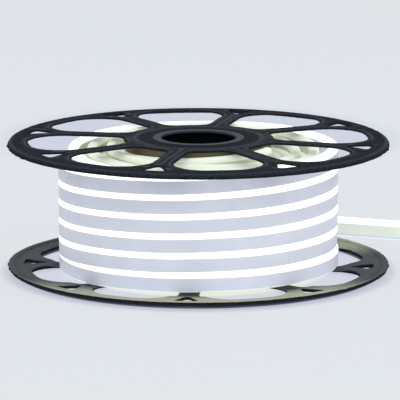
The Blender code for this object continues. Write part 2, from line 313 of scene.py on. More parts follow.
def swept_flex(name, line, materials):
    """The flex's section swept upright along a line: channel, diffuser and closed ends."""
    section = diffuser_section()[:-1] + channel_section()[:-1]
    lit = len(diffuser_section()) - 1
    bm = bmesh.new()
    heights = bm.verts.layers.float.new("section_height")
    rings = []
    for place, point in enumerate(line):
        along = line[min(place + 1, len(line) - 1)] - line[max(place - 1, 0)]
        along.z = 0.0
        along.normalize()
        across = Vector((along.y, -along.x, 0.0))
        ring = []
        for x, z in section:
            vert = bm.verts.new(point + across * x + Vector((0.0, 0.0, z)))
            vert[heights] = z
            ring.append(vert)
        rings.append(ring)
    count = len(section)
    for ring, following in zip(rings, rings[1:]):
        for place in range(count):
            after = (place + 1) % count
            face = bm.faces.new((ring[place], following[place], following[after], ring[after]))
            face.material_index = 1 if place < lit else 0
    bm.faces.new(rings[0])
    bm.faces.new(reversed(rings[-1]))
    bmesh.ops.recalc_face_normals(bm, faces=bm.faces)
    return finished(name, bm, materials)


def finished(name, bm, materials):
    """An object made from a bmesh, with smooth faces and its sharp edges marked."""
    mesh = bpy.data.meshes.new(name)
    bm.to_mesh(mesh)
    bm.free()
    mesh.shade_smooth()
    mesh.set_sharp_from_angle(angle=SHARP_ANGLE)
    for material in materials:
        mesh.materials.append(material)
    made = bpy.data.objects.new(name, mesh)
    scene.collection.objects.link(made)
    return made


tail_line = smooth_line(TAIL_ROUTE, TAIL_STEPS_PER_LEG)
free_end = swept_flex("flex_free_end", tail_line, [tail_channel, outer_diffuser])

# The cap on the free end: a small moulding of milky silicone, glued on, with soft
# edges and flat sides.
CAP_LENGTH = 0.012
CAP_WALL = 0.0008
CAP_GAP = 0.0003
CAP_CORNER = 0.0012

cap_finish = Finish("end_cap_silicone", linear(214, 218, 224), 0.48, 0.4)
cap_finish.set("Subsurface Weight", 0.2)
cap_finish.shader.inputs["Subsurface Radius"].default_value = (0.003, 0.003, 0.003)
heading = (tail_line[-1] - tail_line[-2]).normalized()
cap_bm = bmesh.new()
bmesh.ops.create_cube(cap_bm, size=1.0)
cap_width = FLEX_WIDTH + 2 * CAP_WALL
cap_height = FLEX_HEIGHT + CAP_WALL
bmesh.ops.scale(cap_bm, vec=(CAP_LENGTH, cap_width, cap_height), verts=cap_bm.verts)
bmesh.ops.bevel(
    cap_bm, geom=cap_bm.edges[:], offset=CAP_CORNER, segments=4, profile=0.5, affect="EDGES"
)
side = Vector((-heading.y, heading.x, 0.0))
cap_middle = tail_line[-1] + heading * (CAP_GAP + CAP_LENGTH / 2)
for vert in cap_bm.verts:
    x, y, z = vert.co
    vert.co = cap_middle + heading * x + side * y + Vector((0.0, 0.0, z + cap_height / 2))
end_cap = finished("flex_end_cap", cap_bm, [cap_finish.made])

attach(free_end, "root")
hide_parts("neon_flex_tail")
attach(end_cap, "root")
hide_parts("tail_end_cap")

# The reel's flanges: two mouldings of black plastic, dished so that the hub stands
# proud, with eight windows, a small triangle at each spoke's rim end, and thin raised
# lines on a grained outer face. The lower one's plate is thicker outside the winding.
REEL_HEIGHT = 0.1136
FLANGE_RADIUS = 0.160
BORE_RADIUS = 0.0315
COLLAR_RADIUS = 0.038
COLLAR_RISE = 0.0006
HUB_RING_RADIUS = 0.053
HUB_RING_HALF_WIDTH = 0.0006
HUB_RING_RISE = 0.0003
HUB_EDGE_RADIUS = 0.063
WEB_THICKNESS = 0.0014
STIFF_RISE = 0.0016
STIFF_START = 0.1195
STIFF_WIDTH = 0.010
DISH_DEPTH = 0.0014
RIM_HEIGHT = 0.0044
RIM_BAND_WIDTH = 0.017
RIM_BEVEL_WIDTH = 0.0045
RIM_BEVEL_HEIGHT = 0.0036
RIM_LIP_WIDTH = 0.0038
RIM_LIP_RISE = 0.0008
RIM_GROOVE_RADIUS = 0.1541
RIM_GROOVE_HALF_WIDTH = 0.0009
RIM_GROOVE_DEPTH = 0.0006
SPOKES = 8
SPOKE_WIDTH = 0.017
WINDOW_OUTER_CORNER = 0.027
WINDOW_INNER_CORNER = 0.012
TRIANGLE_APEX = FLANGE_RADIUS - 0.0345
TRIANGLE_BASE = FLANGE_RADIUS - 0.0125
TRIANGLE_WIDTH = 0.0235
TRIANGLE_CORNER = 0.0025
BORE_EDGE = 0.0006
EDGE_ROUND = 0.0006
INNER_EDGE_ROUND = 0.0004
BEAD_DISTANCE = 0.0031
BEAD_HALF_WIDTH = 0.0006
BEAD_RISE = 0.00028
SPOKE_LINE_HALF_WIDTH = 0.0006
SPOKE_LINE_RISE = 0.00025
SPOKE_LINE_INNER = HUB_RING_RADIUS + 0.0005
SPOKE_LINE_OUTER = TRIANGLE_APEX - 0.001
# Where the flex's light is painted on the lower flange's inner face: toward the front and
# near a point by the free end, each only on the rim's band
SHINES_IN_FRONT = (-0.055, -0.125)
BY_FREE_END = (0.118, 0.098, 0.0)
SHINES_NEAR_IT = (0.075, 0.020)
SHINES_ON_BAND = (0.121, 0.141)
GRAIN_SCALE = 1100.0
GRAIN_DEPTH = 0.0003
BOTTOM_FLANGE_TURN = math.radians(18.5)
TOP_FLANGE_TURN = math.radians(8.0)
ROUND_STEPS = 288
SIDE_STEPS = 8
ACROSS_A_LINE = (-1, -0.5, 0, 0.5, 1)
FILL_SPACING = 0.005
FILL_CLEARANCE = 0.0012
FILL_INNER = BORE_RADIUS + 0.003
FILL_OUTER = FLANGE_RADIUS - 0.005
LINE_END_INSET = 0.0005
# Trimmed by hand: how far edges wander outside the collar, in waves so many to the
# metre, and the flash burrs left on the rim, each an angle in degrees and how far it
# stands out.
TRIMMED_FROM = COLLAR_RADIUS + 0.004
RIM_EDGE_WIDTH = 0.0002
EDGE_WANDER = 0.00022
WANDER_WAVES = (610.0, 870.0, 1130.0)
ALONG_TURN, ACROSS_TURN = 1.1, 0.8
ALONG_SHIFT, ACROSS_SHIFT = 2.1, 0.7
BURRS = ((18.0, 0.0011), (41.0, 0.0008), (97.0, 0.0007), (163.0, 0.0009), (184.0, 0.0012),
         (233.0, 0.0006), (262.0, 0.0007), (300.0, 0.0012), (304.0, 0.0007), (338.0, 0.0009))


def corner_centre(distance, radius):
    """A window corner's centre, so far from the axis and the spoke's edge, and its angle."""
    angle = math.pi / SPOKES - math.asin((SPOKE_WIDTH / 2 + radius) / distance)
    return (distance * math.cos(angle), distance * math.sin(angle)), angle


def window_loop(outset):
    """The window centred on +X, or the line that runs so far outside its edge."""
    side_normal = math.pi / SPOKES + math.pi / 2
    rim_inner = FLANGE_RADIUS - RIM_BAND_WIDTH
    outer, outer_angle = corner_centre(rim_inner - WINDOW_OUTER_CORNER, WINDOW_OUTER_CORNER)
    inner, inner_angle = corner_centre(
        HUB_EDGE_RADIUS + WINDOW_INNER_CORNER, WINDOW_INNER_CORNER
    )
    rim_arc = arc((0, 0), rim_inner + outset, 0.0, outer_angle, 3)[:-1]
    half = rim_arc + arc(outer, WINDOW_OUTER_CORNER + outset, outer_angle, side_normal, 20)
    half += side_points(half[-1], inner, WINDOW_INNER_CORNER + outset, side_normal)
    half += arc(
        inner, WINDOW_INNER_CORNER + outset, side_normal, math.pi + inner_angle, 12
    )
    half += arc((0, 0), HUB_EDGE_RADIUS - outset, inner_angle, 0.0, 3)[1:]
    return half + [(x, -y) for x, y in reversed(half[1:-1])]


def side_points(start, corner, radius, normal):
    """Points along a window's straight side, between its two corners."""
    end = (corner[0] + radius * math.cos(normal), corner[1] + radius * math.sin(normal))
    shares = [step / SIDE_STEPS for step in range(1, SIDE_STEPS)]
    return [
        (start[0] + (end[0] - start[0]) * s, start[1] + (end[1] - start[1]) * s) for s in shares
    ]


def triangle_loop(outset):
    """The rounded triangle on the spoke at half a sector, or a line round it."""
    half_width = TRIANGLE_WIDTH / 2
    half_apex = math.atan2(half_width, TRIANGLE_BASE - TRIANGLE_APEX)
    apex = (TRIANGLE_APEX + TRIANGLE_CORNER / math.sin(half_apex), 0.0)
    inset = TRIANGLE_CORNER / math.tan((math.pi / 2 - half_apex) / 2)
    base = (TRIANGLE_BASE - TRIANGLE_CORNER, half_width - inset)
    radius = TRIANGLE_CORNER + outset
    side_normal = half_apex + math.pi / 2
    half = arc(base, radius, 0.0, side_normal, 8)
    half += arc(apex, radius, side_normal, math.pi, 5)
    loop = half + [(x, -y) for x, y in reversed(half[:-1])]
    return turned_loop(loop, math.pi / SPOKES)


def turned_loop(loop, angle):
    """A plan outline turned about the reel's axis."""
    cosine, sine = math.cos(angle), math.sin(angle)
    return [(x * cosine - y * sine, x * sine + y * cosine) for x, y in loop]


def inside(points, loop):
    """Which of the points lie inside a closed outline."""
    loop = np.array(loop)
    x, y = points[:, 0][:, None], points[:, 1][:, None]
    x0, y0 = loop[:, 0], loop[:, 1]
    x1, y1 = np.roll(x0, -1), np.roll(y0, -1)
    crosses = (y0 > y) != (y1 > y)
    at = x0 + (y - y0) * (x1 - x0) / np.where(y1 == y0, 1e-12, y1 - y0)
    return (crosses & (x < at)).sum(1) % 2 == 1


def distance_to(points, loops):
    """How far each point is from the nearest of the outlines."""
    best = np.full(len(points), 1.0)
    for loop in loops:
        a = np.array(loop)
        b = np.roll(a, -1, 0)
        d = b - a
        near = (np.abs(points - a.mean(0)) < np.ptp(a, 0).max()).all(1)
        p = points[near][:, None, :]
        share = np.clip(((p - a) * d).sum(2) / (d * d).sum(1), 0, 1)
        gap = np.linalg.norm(p - a - share[..., None] * d, axis=2).min(1)
        best[near] = np.minimum(best[near], gap)
    return best


def flange_plan():
    """The flange from above: points, triangles along its edges and lines, and its openings."""
    circles = [BORE_RADIUS + BORE_EDGE * step / 3 for step in range(4)]
    circles += [COLLAR_RADIUS, COLLAR_RADIUS + COLLAR_RISE / 2, COLLAR_RADIUS + COLLAR_RISE]
    circles += [HUB_RING_RADIUS + HUB_RING_HALF_WIDTH * share for share in ACROSS_A_LINE]
    bevel_start = FLANGE_RADIUS - RIM_BEVEL_WIDTH
    circles += [bevel_start + RIM_BEVEL_WIDTH * math.sin(math.radians(15 * s)) for s in range(7)]
    circles += [FLANGE_RADIUS - RIM_LIP_WIDTH - RIM_LIP_RISE * s for s in (-0.7, -0.3, 0.3, 1)]
    circles += [RIM_GROOVE_RADIUS + RIM_GROOVE_HALF_WIDTH * s for s in ACROSS_A_LINE]
    loops = [
        [(r * math.cos(a), r * math.sin(a)) for a in np.arange(ROUND_STEPS) * math.tau / ROUND_STEPS]
        for r in sorted(circles)
    ]
    bead = [BEAD_DISTANCE + BEAD_HALF_WIDTH * share for share in ACROSS_A_LINE]
    rounding = [EDGE_ROUND * share for share in (0.0, 0.15, 0.45, 1.0)]
    windows = [window_loop(outset) for outset in rounding + bead]
    triangles = [triangle_loop(outset) for outset in rounding]
    edges_of_holes = []
    for spoke in range(SPOKES):
        turn = math.tau * spoke / SPOKES
        loops += [turned_loop(loop, turn) for loop in windows + triangles]
        edges_of_holes += [turned_loop(windows[0], turn), turned_loop(triangles[0], turn)]
    points = [point for loop in loops for point in loop]
    edges, first = [], 0
    for loop in loops:
        count = len(loop)
        edges += [(first + k, first + (k + 1) % count) for k in range(count)]
        first += count
    for spoke in range(SPOKES):
        turn = math.tau * (spoke + 0.5) / SPOKES
        for share in ACROSS_A_LINE:
            beside = share * SPOKE_LINE_HALF_WIDTH
            start, end = SPOKE_LINE_INNER + LINE_END_INSET, SPOKE_LINE_OUTER - LINE_END_INSET
            points += turned_loop([(start, beside), (end, beside)], turn)
            edges.append((len(points) - 2, len(points) - 1))
    taken = np.array(points)
    for radius in np.arange(FILL_INNER, FILL_OUTER, FILL_SPACING):
        count = int(math.tau * radius / FILL_SPACING)
        for step in range(count):
            angle = math.tau * (step + 0.5 * (count % 2)) / count
            place = np.array((radius * math.cos(angle), radius * math.sin(angle)))
            if np.abs(taken - place).max(1).min() > FILL_CLEARANCE:
                points.append(tuple(place))
    made = geometry.delaunay_2d_cdt([Vector(p) for p in points], edges, [], 0, 1e-7)
    verts, faces = np.array(made[0]), np.array(made[2])
    middles = verts[faces].mean(1)
    radii = np.hypot(middles[:, 0], middles[:, 1])
    keep = radii > BORE_RADIUS * math.cos(math.pi / ROUND_STEPS) - 1e-6
    for loop in edges_of_holes:
        keep &= ~inside(middles, loop)
    faces = faces[keep]
    used, faces = np.unique(faces, return_inverse=True)
    return verts[used], faces.reshape(-1, 3), edges_of_holes


def eased(values):
    """A smooth bump: 1 at 0, falling to 0 at 1."""
    values = np.clip(np.abs(values), 0, 1)
    return 1 - values * values * (3 - 2 * values)


def spoke_line(points, half_width):
    """The line along each spoke: 1 on it, falling to 0 beside it, and 0 past its ends."""
    r = np.hypot(points[:, 0], points[:, 1])
    angle = np.arctan2(points[:, 1], points[:, 0])
    sector = math.tau / SPOKES
    beside = r * np.sin((angle % sector) - sector / 2)
    return eased(beside / half_width) * ((r > SPOKE_LINE_INNER) & (r < SPOKE_LINE_OUTER))


def dished(r):
    """How high the plate's outer side has risen at a radius, over the plane of the collar."""
    cone = (r - HUB_EDGE_RADIUS) / (FLANGE_RADIUS - RIM_BEVEL_WIDTH - HUB_EDGE_RADIUS)
    return COLLAR_RISE + DISH_DEPTH * np.clip(cone, 0, 1)


def outer_face(points, gap):
    """Height of the outer face over the plane that the collar stands on."""
    r = np.hypot(points[:, 0], points[:, 1])
    height = dished(r)
    height -= COLLAR_RISE * eased((r - COLLAR_RADIUS) / COLLAR_RISE) * (r >= COLLAR_RADIUS)
    height = np.where(r < COLLAR_RADIUS, 0.0, height)
    height += np.clip(BORE_RADIUS + BORE_EDGE - r, 0, None) ** 2 / BORE_EDGE
    height -= HUB_RING_RISE * eased((r - HUB_RING_RADIUS) / HUB_RING_HALF_WIDTH)
    bevel = np.clip((r - FLANGE_RADIUS + RIM_BEVEL_WIDTH) / RIM_BEVEL_WIDTH, 0, 1)
    height += RIM_BEVEL_HEIGHT * (1 - np.sqrt(1 - bevel**2))
    height -= BEAD_RISE * eased((gap - BEAD_DISTANCE) / BEAD_HALF_WIDTH)
    height -= SPOKE_LINE_RISE * spoke_line(points, SPOKE_LINE_HALF_WIDTH)
    rounding = np.clip(1 - gap / EDGE_ROUND, 0, 1)
    return height + EDGE_ROUND * (1 - np.sqrt(1 - rounding**2))


def polish_and_sheen(points, gap):
    """How smooth the outer face is, and how strong its painted sheen: 1 on raised lines, collar and
    rim, 0 on the grain.
    """
    r = np.hypot(points[:, 0], points[:, 1])
    lines = eased((gap - BEAD_DISTANCE) / (1.5 * BEAD_HALF_WIDTH))
    lines = np.maximum(lines, spoke_line(points, 2 * SPOKE_LINE_HALF_WIDTH))
    lines = np.maximum(lines, eased((r - HUB_RING_RADIUS) / (2 * HUB_RING_HALF_WIDTH)))
    smooth = np.clip((COLLAR_RADIUS + COLLAR_RISE - r) / COLLAR_RISE, 0, 1)
    rim = 1 - np.abs((r - FLANGE_RADIUS + RIM_BEVEL_WIDTH / 2) / (RIM_BEVEL_WIDTH / 2))
    return np.clip(np.maximum(lines, np.maximum(0.9 * smooth, 0.6 * rim)), 0, 1)


def inner_face(points, gap, stiff_rise):
    """Height of the inner face, with the rim's lip, over the same plane."""
    r = np.hypot(points[:, 0], points[:, 1])
    rim_inner = FLANGE_RADIUS - RIM_BAND_WIDTH
    lip_foot = FLANGE_RADIUS - RIM_LIP_WIDTH - RIM_LIP_RISE
    rim_top = COLLAR_RISE + DISH_DEPTH + RIM_HEIGHT
    web = dished(r) + WEB_THICKNESS
    web += stiff_rise * eased(1 - np.clip((r - STIFF_START) / STIFF_WIDTH, 0, 1))
    web_at_rim = dished(rim_inner) + WEB_THICKNESS + stiff_rise
    share = np.clip((r - rim_inner) / (lip_foot - rim_inner), 0, 1)
    band = web_at_rim + (rim_top - RIM_LIP_RISE - web_at_rim) * share
    height = np.where(r > rim_inner, band, web)
    height += RIM_LIP_RISE * (1 - eased((r - lip_foot) / RIM_LIP_RISE)) * (r > lip_foot)
    height -= RIM_GROOVE_DEPTH * eased((r - RIM_GROOVE_RADIUS) / RIM_GROOVE_HALF_WIDTH)
    rounding = np.clip(1 - gap / INNER_EDGE_ROUND, 0, 1)
    return height - INNER_EDGE_ROUND * (1 - np.sqrt(1 - rounding**2))


def hand_trimmed(plan):
    """The plan with its edges wandering a little and burrs standing out of the rim."""
    moved = plan.copy()
    for number, waves in enumerate(WANDER_WAVES):
        turn, cross = number * ALONG_TURN, number * ACROSS_TURN
        along = plan @ np.array((math.cos(turn), math.sin(turn))) * waves
        across = plan @ np.array((-math.sin(cross), math.cos(cross))) * waves
        moved[:, 0] += EDGE_WANDER * np.sin(along + ALONG_SHIFT * number) * np.cos(across)
        moved[:, 1] += EDGE_WANDER * np.cos(along) * np.sin(across + ACROSS_SHIFT * number)
    r = np.hypot(plan[:, 0], plan[:, 1])
    as_moulded = (r < TRIMMED_FROM)[:, None]
    moved = np.where(as_moulded, plan, moved)
    angles = np.degrees(np.arctan2(plan[:, 1], plan[:, 0])) % 360
    for angle, height in BURRS:
        near = np.clip(1 - np.abs(angles - angle) / (360 / ROUND_STEPS), 0, 1)
        near = near * (r > FLANGE_RADIUS - RIM_EDGE_WIDTH)
        moved += plan * (height * near / r)[:, None]
    return moved


def flange_mesh(plan, faces, holes, stiff_rise):
    """Both faces of a flange and the walls that join them, as one closed bmesh."""
    gap = distance_to(plan, holes)
    trimmed = hand_trimmed(plan)
    low = np.column_stack([trimmed, outer_face(plan, gap)])
    high = np.column_stack([trimmed, inner_face(plan, gap, stiff_rise)])
    bm = bmesh.new()
    smoothness_and_sheen = bm.verts.layers.float.new("polish_and_sheen")
    outer = [bm.verts.new(p) for p in low]
    inner = [bm.verts.new(p) for p in high]
    for vert, amount in zip(outer, polish_and_sheen(plan, gap)):
        vert[smoothness_and_sheen] = amount
    seen = {}
    for a, b, c in faces:
        bm.faces.new((outer[a], outer[c], outer[b]))
        bm.faces.new((inner[a], inner[b], inner[c])).material_index = 1
        for edge in ((a, b), (b, c), (c, a)):
            seen[edge] = True
    for a, b in seen:
        if (b, a) not in seen:
            bm.faces.new((outer[a], outer[b], inner[b], inner[a]))
    bmesh.ops.recalc_face_normals(bm, faces=bm.faces)
    return bm


def black_moulding():
    """Black plastic with a leather grain, smoother where the mesh marks it so, and there painted
    paler and bluer, a painted sheen.
    """
    finish = Finish("black_moulded_plastic", linear(24, 26, 29), 0.5, 0.0)
    grain = finish.nodes.new("ShaderNodeTexVoronoi")
    grain.inputs["Scale"].default_value = GRAIN_SCALE
    finish.feed(grain.inputs["Vector"], finish.place)
    bump = finish.nodes.new("ShaderNodeBump")
    bump.inputs["Strength"].default_value = 0.5
    bump.inputs["Distance"].default_value = GRAIN_DEPTH
    finish.feed(bump.inputs["Height"], grain.outputs["Distance"])
    finish.set("Normal", bump.outputs["Normal"])
    speckle = finish.noise(scale=620.0, detail=3.0, roughness=0.7)
    contrast = finish.ramp(speckle, (0.35, 0.65), kind="LINEAR")
    grained = finish.blend(contrast, linear(14, 15, 17), linear(40, 44, 52))
    smooth = finish.attribute("polish_and_sheen")
    # Painted sheen: the smooth parts are painted a paler, bluer grey
    finish.set("Base Color", finish.blend(smooth, grained, linear(58, 63, 73)))
    finish.set("Roughness", finish.ramp(smooth, (0.0, 1.0), to=(0.55, 0.38), kind="LINEAR"))
    sheen = finish.ramp(smooth, (0.0, 1.0), to=(0.004, 0.015), kind="LINEAR")
    finish.set("Specular IOR Level", sheen)
    return finish.made


def lit_moulding():
    """The same plastic on the lower flange's inner face, greyer in soft clouds, painted khaki where
    the flex's light falls.
    """
    finish = Finish("black_plastic_inner_face", linear(70, 73, 72), 0.55, 0.1)
    in_front = finish.ramp(finish.axis("Y"), SHINES_IN_FRONT)
    behind = finish.ramp(finish.distance(BY_FREE_END), SHINES_NEAR_IT, to=(0.0, 0.8))
    on_band = finish.ramp(finish.distance((0.0, 0.0, 0.0)), SHINES_ON_BAND)
    # Painted light: khaki where the flex's glow falls on the face
    shone_on = finish.calc("MULTIPLY", finish.calc("MAXIMUM", in_front, behind), on_band)
    grey_clouds = finish.noise(scale=260.0, detail=4.0)
    clouded_grey = finish.blend(grey_clouds, linear(36, 40, 44), linear(68, 73, 78))
    finish.set("Base Color", finish.blend(shone_on, clouded_grey, linear(166, 167, 142)))
    return finish.made


moulding = black_moulding()
flange_parts = flange_plan()
bottom_flange = finished(
    "reel_flange_bottom", flange_mesh(*flange_parts, STIFF_RISE), [moulding, lit_moulding()]
)
bottom_flange.data.transform(Matrix.Rotation(BOTTOM_FLANGE_TURN, 4, "Z"))
top_flange = finished(
    "reel_flange_top", flange_mesh(*flange_parts, 0.0), [moulding, moulding]
)
turned_over = Matrix.Rotation(TOP_FLANGE_TURN, 4, "Z") @ Matrix.Rotation(math.pi, 4, "X")
top_flange.data.transform(Matrix.Translation((0.0, 0.0, REEL_HEIGHT)) @ turned_over)
for flange, node in ((bottom_flange, "bottom_flange"), (top_flange, "top_flange")):
    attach(flange, "root")
    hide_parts(node)

# The drum: a plain hollow tube of the same black plastic, smooth outside and painted
# a warm olive for the flex's light on it, held between the flanges.
DRUM_RADIUS = 0.061
DRUM_WALL = 0.003
DRUM_GAP = 0.0003
DRUM_STEPS = 160
DRUM_EDGE = 0.0004
drum_low = COLLAR_RISE + WEB_THICKNESS + DRUM_GAP
drum_high = REEL_HEIGHT - drum_low
drum_inner = DRUM_RADIUS - DRUM_WALL
drum_profile = [
    (drum_inner, drum_low + DRUM_EDGE), (drum_inner + DRUM_EDGE, drum_low),
    (DRUM_RADIUS - DRUM_EDGE, drum_low), (DRUM_RADIUS, drum_low + DRUM_EDGE),
    (DRUM_RADIUS, drum_high - DRUM_EDGE), (DRUM_RADIUS - DRUM_EDGE, drum_high),
    (drum_inner + DRUM_EDGE, drum_high), (drum_inner, drum_high - DRUM_EDGE),
]
drum_bm = bmesh.new()
drum_rings = []
for step in range(DRUM_STEPS):
    angle = math.tau * step / DRUM_STEPS
    drum_rings.append(
        [drum_bm.verts.new((r * math.cos(angle), r * math.sin(angle), z)) for r, z in drum_profile]
    )
for ring, following in zip(drum_rings, drum_rings[1:] + drum_rings[:1]):
    for place in range(len(drum_profile)):
        after = (place + 1) % len(drum_profile)
        drum_bm.faces.new((ring[place], following[place], following[after], ring[after]))
bmesh.ops.recalc_face_normals(drum_bm, faces=drum_bm.faces)
# Painted light: the black drum is painted olive, standing in for the flex's glow on it
drum_finish = Finish("black_drum_plastic", linear(96, 88, 62), 0.5, 0.1)
streaks = drum_finish.noise(scale=90.0)
drum_gloss = drum_finish.ramp(streaks, (0.0, 1.0), to=(0.36, 0.52), kind="LINEAR")
drum_finish.set("Roughness", drum_gloss)
for face in drum_bm.faces:
    if face.calc_center_median().xy.length < DRUM_RADIUS - DRUM_WALL / 2:
        face.material_index = 1
drum = finished("reel_drum", drum_bm, [drum_finish.made, moulding])
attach(drum, "root")
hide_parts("drum")

# The winding: one length of flex, wound on edge in seven layers of nearly six turns.
# It is followed inward from the free end: up the outer layer, down the next, and so
# on, stepping one width inward at each flange.
WINDING_INNER_RADIUS = 0.0613
STEPS_PER_TURN = 96
STEP_TURNS = 0.14
SETTLING_TURNS = 0.3
WAVER_HEIGHT = 0.0007
WAVER_RADIUS = 0.0004
OUTER_WAVER_RADIUS = 0.0008
WAVER_ROUND = 1.6
WAVER_UP = 9.0
BULGE_UP = 6.0
SEED_STEP = 3.1
LANDING_EASE = 0.002
START_ANGLE = math.radians(120)
FLARE = FLEX_WIDTH + 0.0003
MERGE_DISTANCE = 0.00002
# Turns, height at the end, and how the climb sways once a turn: two parts, the sine's
# at the start and at the end, then the cosine's. From the outer layer to the inner one.
LAYERS = [
    (5.80, 0.0920, (1.06, -0.75), (-0.73, -0.90)),
    (5.50, 0.0028, (-0.90, 0.20), (0.30, -0.20)),
    (5.60, 0.0943, (0.25, -0.30), (0.10, 0.30)),
    (5.50, 0.0026, (-0.35, 0.10), (-0.25, 0.10)),
    (5.60, 0.0945, (0.10, -0.25), (0.20, 0.25)),
    (5.74, 0.0024, (-0.20, 0.20), (0.10, -0.20)),
    (5.85, 0.0945, (0.10, 0.10), (0.10, 0.10)),
]
OUTER_START_HEIGHT = -0.0043
OUTER_END_LIFT = 0.0023
LOWEST_OUTER = 0.0034


def section_object(name, section):
    """A section as a curve object, upside down, since the sweep turns its Y to point down."""
    curve = bpy.data.curves.new(name, "CURVE")
    curve.dimensions = "3D"
    spline = curve.splines.new("POLY")
    spline.points.add(len(section) - 1)
    for point, (x, z) in zip(spline.points, section):
        point.co = (-x, -z, 0.0, 1.0)
    made = bpy.data.objects.new(name, curve)
    scene.collection.objects.link(made)
    made.hide_render = True
    return made


def winding_tree():
    """Nodes that lay one layer's path and sweep both parts of the section along it."""
    tree = bpy.data.node_groups.new("wound_layer", "GeometryNodeTree")
    sockets = {}
    for name, kind in (
        ("Turns", "NodeSocketFloat"), ("Radius", "NodeSocketFloat"),
        ("Start angle", "NodeSocketFloat"), ("Start height", "NodeSocketFloat"),
        ("End height", "NodeSocketFloat"), ("Lowest", "NodeSocketFloat"),
        ("Sine at start", "NodeSocketFloat"), ("Sine at end", "NodeSocketFloat"),
        ("Cosine at start", "NodeSocketFloat"), ("Cosine at end", "NodeSocketFloat"),
        ("Flare at start", "NodeSocketFloat"),
        ("Step at end", "NodeSocketFloat"), ("Seed", "NodeSocketFloat"),
        ("Waver outward", "NodeSocketFloat"), ("Lift at end", "NodeSocketFloat"),
        ("Channel section", "NodeSocketObject"), ("Diffuser section", "NodeSocketObject"),
        ("Channel material", "NodeSocketMaterial"), ("Diffuser material", "NodeSocketMaterial"),
    ):
        sockets[name] = tree.interface.new_socket(name=name, in_out="INPUT", socket_type=kind)
    tree.interface.new_socket(name="Mesh", in_out="OUTPUT", socket_type="NodeSocketGeometry")
    given = tree.nodes.new("NodeGroupInput").outputs
    link = tree.links.new

    def put(socket, value):
        if isinstance(value, (int, float)):
            socket.default_value = value
        else:
            link(value, socket)

    def calc(operation, *values):
        node = tree.nodes.new("ShaderNodeMath")
        node.operation = operation
        for socket, value in zip(node.inputs, values):
            put(socket, value)
        return node.outputs[0]

    def eased_range(value, low, high):
        node = tree.nodes.new("ShaderNodeMapRange")
        node.interpolation_type = "SMOOTHSTEP"
        put(node.inputs["Value"], value)
        put(node.inputs["From Min"], low)
        put(node.inputs["From Max"], high)
        return node.outputs["Result"]

    line = tree.nodes.new("GeometryNodeCurvePrimitiveLine")
    dots = tree.nodes.new("GeometryNodeResampleCurve")
    link(line.outputs["Curve"], dots.inputs["Curve"])
    steps = calc("MULTIPLY", given["Turns"], STEPS_PER_TURN)
    put(dots.inputs["Count"], calc("ADD", calc("ROUND", steps), 1.0))
    factor = tree.nodes.new("GeometryNodeSplineParameter").outputs["Factor"]
    turns = calc("MULTIPLY", factor, given["Turns"])
    angle = calc("ADD", calc("MULTIPLY", turns, math.tau), given["Start angle"])
    outward = calc("SUBTRACT", 1.0, eased_range(turns, 0.0, STEP_TURNS))
    left = calc("SUBTRACT", given["Turns"], turns)
    inward = calc("SUBTRACT", 1.0, eased_range(left, 0.0, STEP_TURNS))
    radius = calc("ADD", given["Radius"], calc("MULTIPLY", outward, given["Flare at start"]))
    radius = calc("SUBTRACT", radius, calc("MULTIPLY", inward, given["Step at end"]))
    settled = calc(
        "MULTIPLY", eased_range(turns, 0.0, SETTLING_TURNS), eased_range(left, 0.0, SETTLING_TURNS)
    )
    rise = calc("SUBTRACT", given["End height"], given["Start height"])
    per_turn = calc("DIVIDE", rise, given["Turns"])
    phase = calc("MULTIPLY", turns, math.tau)
    swings = []
    for part, operation in (("Sine", "SINE"), ("Cosine", "COSINE")):
        early, late = given[f"{part} at start"], given[f"{part} at end"]
        sway = calc("ADD", early, calc("MULTIPLY", calc("SUBTRACT", late, early), factor))
        swings.append(calc("MULTIPLY", calc(operation, phase), sway))
    swing = calc("DIVIDE", calc("ADD", *swings), math.tau)
    swing = calc("MULTIPLY", calc("MULTIPLY", swing, per_turn), settled)
    height = calc("ADD", given["Start height"], calc("MULTIPLY", rise, factor))
    height = calc("ADD", height, swing)
    lifted = calc("SUBTRACT", 1.0, eased_range(left, 0.0, SETTLING_TURNS))
    height = calc("ADD", height, calc("MULTIPLY", lifted, given["Lift at end"]))

    spot = tree.nodes.new("ShaderNodeCombineXYZ")
    link(calc("MULTIPLY", calc("COSINE", angle), WAVER_ROUND), spot.inputs["X"])
    link(calc("MULTIPLY", calc("SINE", angle), WAVER_ROUND), spot.inputs["Y"])
    link(calc("ADD", calc("MULTIPLY", height, WAVER_UP), given["Seed"]), spot.inputs["Z"])
    waver = tree.nodes.new("ShaderNodeTexNoise")
    waver.inputs["Scale"].default_value = 1.0
    waver.inputs["Detail"].default_value = 1.0
    link(spot.outputs["Vector"], waver.inputs["Vector"])
    up = calc("MULTIPLY", calc("SUBTRACT", waver.outputs["Fac"], 0.5), 2 * WAVER_HEIGHT)
    beside = tree.nodes.new("ShaderNodeVectorMath")
    beside.operation = "MULTIPLY"
    beside.inputs[1].default_value = (1.0, 1.0, BULGE_UP)
    link(spot.outputs["Vector"], beside.inputs[0])
    bulge = tree.nodes.new("ShaderNodeTexNoise")
    bulge.inputs["Scale"].default_value = 1.0
    bulge.inputs["Detail"].default_value = 0.0
    link(beside.outputs["Vector"], bulge.inputs["Vector"])
    out = calc("SUBTRACT", calc("MULTIPLY", bulge.outputs["Fac"], 2.0), 1.0)
    out = calc("MULTIPLY", out, given["Waver outward"])
    height = calc("ADD", height, calc("MULTIPLY", up, settled))
    height = calc("SMOOTH_MAX", height, given["Lowest"], LANDING_EASE)
    radius = calc("ADD", radius, calc("MULTIPLY", out, settled))

